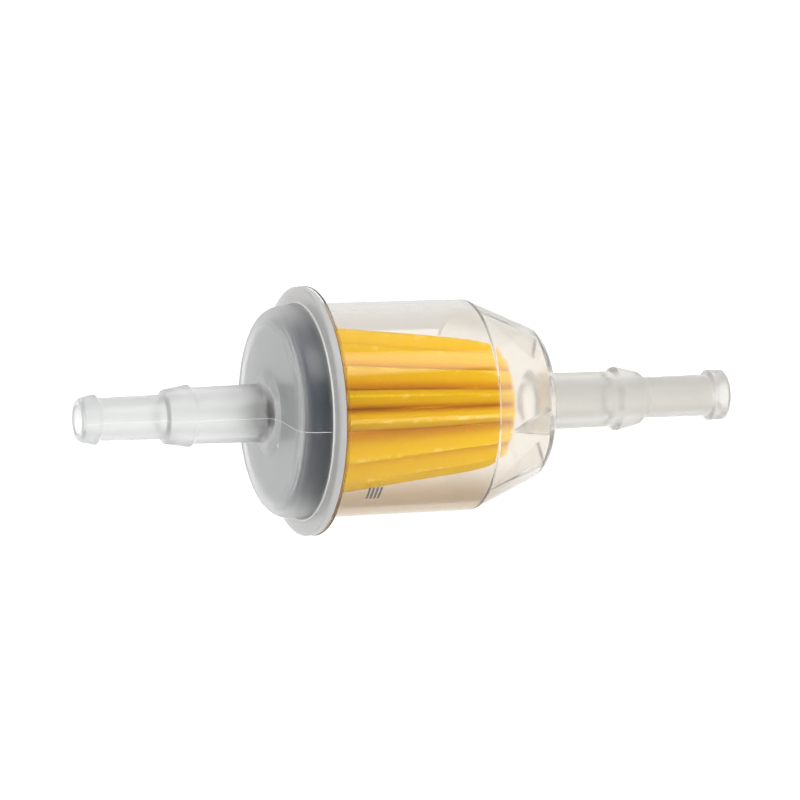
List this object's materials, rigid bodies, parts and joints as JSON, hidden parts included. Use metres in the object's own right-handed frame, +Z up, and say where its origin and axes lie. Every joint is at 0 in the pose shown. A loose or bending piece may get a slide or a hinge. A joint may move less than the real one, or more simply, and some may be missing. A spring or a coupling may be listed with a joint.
{
  "type": "in-line fuel filter",
  "caption": "In-line fuel filter: a pleated paper cone in a clear bowl with a milky drum cap, and a stepped, barbed hose tail at each end.",
  "frame": {"origin": "on the turning axis, half way between the two hose tail tips", "axes": "+X along the turning axis from the cap's tip to the bowl's tip, +Z up"},
  "size_m": [0.0992, 0.036, 0.036],
  "materials": {
    "milky_polyamide": "satin, moulded",
    "clear_polyamide": "polished, see-through",
    "dark_polyamide": "satin, moulded",
    "brown_card": "matt",
    "hot_melt_glue": "waxy",
    "pleated_paper": "matt, fine fibres"
  },
  "bodies": {
    "root": {"end_cap": "milky_polyamide", "bowl": "clear_polyamide", "retaining_cup": "dark_polyamide", "element_brim": "brown_card", "glue_ring": "hot_melt_glue", "filter_element": "pleated_paper", "seam_strip": "hot_melt_glue", "tip_seal": "hot_melt_glue"}
  },
  "joints": []
}
